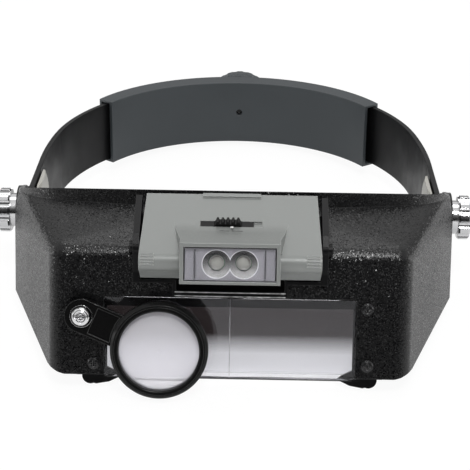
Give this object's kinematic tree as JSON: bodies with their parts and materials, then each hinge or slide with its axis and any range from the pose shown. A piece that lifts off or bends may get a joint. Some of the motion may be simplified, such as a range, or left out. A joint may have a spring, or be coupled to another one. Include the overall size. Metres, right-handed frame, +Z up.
{
  "type": "lighted headband magnifier",
  "caption": "Head-worn magnifier: a tilting visor with a wide lens, a lens that folds in behind it, a swing-out loupe and a switched lamp, on a band adjusted by a rear knob.",
  "frame": {"origin": "centre of the bounding box at its lowest level, which is the table the piece stands on", "axes": "The lenses and the lamp face -Y, the rear knob is at +Y, +Z is up, and the pivot axis runs along X"},
  "size_m": [0.1966, 0.2496, 0.0683],
  "materials": {
    "band_black": "smooth moulded polypropylene",
    "foam": "cloth-faced foam",
    "block_slate": "fine moulded grain",
    "pinion_black": "moulded acetal",
    "knob_slate": "satin moulding",
    "steel": "plain zinc-plated",
    "bright_metal": "bright nickel",
    "nut_chrome": "polished plating",
    "cap_light": "smooth light grey moulding",
    "washer_white": "nylon",
    "visor_black": "fine sparkling moulded grain",
    "lens_acrylic": "clear polished acrylic",
    "loupe_acrylic": "clear polished acrylic",
    "screw_black": "black oxide",
    "loupe_black": "satin black moulding",
    "frame_black": "smooth black moulding",
    "cradle_black": "fine moulded grain",
    "lamp_grey": "fine silver-grey moulding",
    "window_clear": "clear moulding",
    "reflector_silver": "metallised moulding",
    "led_lens": "clear epoxy",
    "board_green": "lacquered board",
    "cell_wrap": "wrapped cell",
    "switch_black": "moulded ridges"
  },
  "bodies": {
    "headband": {"headband_strap": "band_black", "forehead_pad": "foam", "adjuster_inner_cover": "block_slate", "adjuster_outer_cover": "block_slate", "knob_washer": "steel", "pivot_bolts": "bright_metal", "pivot_caps": "cap_light", "friction_washers": "washer_white"},
    "rear_knob": {"adjuster_knob": "knob_slate", "adjuster_pinion": "pinion_black", "knob_screw": "steel"},
    "left_nut": {"thumb_nut_left": "nut_chrome"},
    "right_nut": {"thumb_nut_right": "nut_chrome"},
    "visor": {"visor_shell": "visor_black", "main_lens": "lens_acrylic", "lens_screws": "screw_black", "lens_nuts": "steel", "loupe_screw": "bright_metal", "loupe_washer": "bright_metal", "loupe_nut": "steel", "flip_pins": "steel", "lamp_cradle": "cradle_black", "lamp_pins": "cradle_black"},
    "flip_lens_frame": {"flip_carrier": "frame_black", "flip_lens": "lens_acrylic", "flip_screws": "screw_black"},
    "loupe": {"loupe_arm": "loupe_black", "loupe_lens": "loupe_acrylic", "loupe_retainer": "loupe_black"},
    "lamp": {"lamp_cover": "lamp_grey", "lamp_base": "lamp_grey", "lamp_window": "window_clear", "reflector": "reflector_silver", "leds": "led_lens", "lamp_board": "board_green", "batteries": "cell_wrap", "battery_contacts": "steel"},
    "switch": {"switch_slider": "switch_black"}
  },
  "joints": [
    {"name": "visor_tilt", "type": "hinge", "parent": "headband", "child": "visor", "pos_m": [0, -0.0288, 0.03168], "axis": [-1, 0, 0], "range_deg": [-20, 80]},
    {"name": "rear_knob_turn", "type": "hinge", "parent": "headband", "child": "rear_knob", "pos_m": [0, 0.11533, 0.01681], "axis": [0, 0.9947, -0.1026], "continuous": true},
    {"name": "left_nut_turn", "type": "hinge", "parent": "headband", "child": "left_nut", "pos_m": [0, -0.0288, 0.03168], "axis": [-1, 0, 0], "continuous": true},
    {"name": "right_nut_turn", "type": "hinge", "parent": "headband", "child": "right_nut", "pos_m": [0, -0.0288, 0.03168], "axis": [1, 0, 0], "continuous": true},
    {"name": "flip_lens_fold", "type": "hinge", "parent": "visor", "child": "flip_lens_frame", "pos_m": [0, -0.09764, 0.03679], "axis": [1, 0, 0], "range_deg": [0, 48]},
    {"name": "loupe_swing", "type": "hinge", "parent": "visor", "child": "loupe", "pos_m": [-0.0555, -0.10921, 0.03032], "axis": [0, 0.9409, -0.3386], "range_deg": [0, 150]},
    {"name": "lamp_tilt", "type": "hinge", "parent": "visor", "child": "lamp", "pos_m": [0, -0.09928, 0.05438], "axis": [1, 0, 0], "range_deg": [0, 12]},
    {"name": "switch_slide", "type": "slide", "parent": "lamp", "child": "switch", "axis": [1, 0, 0], "range_m": [0, 0.003]}
  ]
}
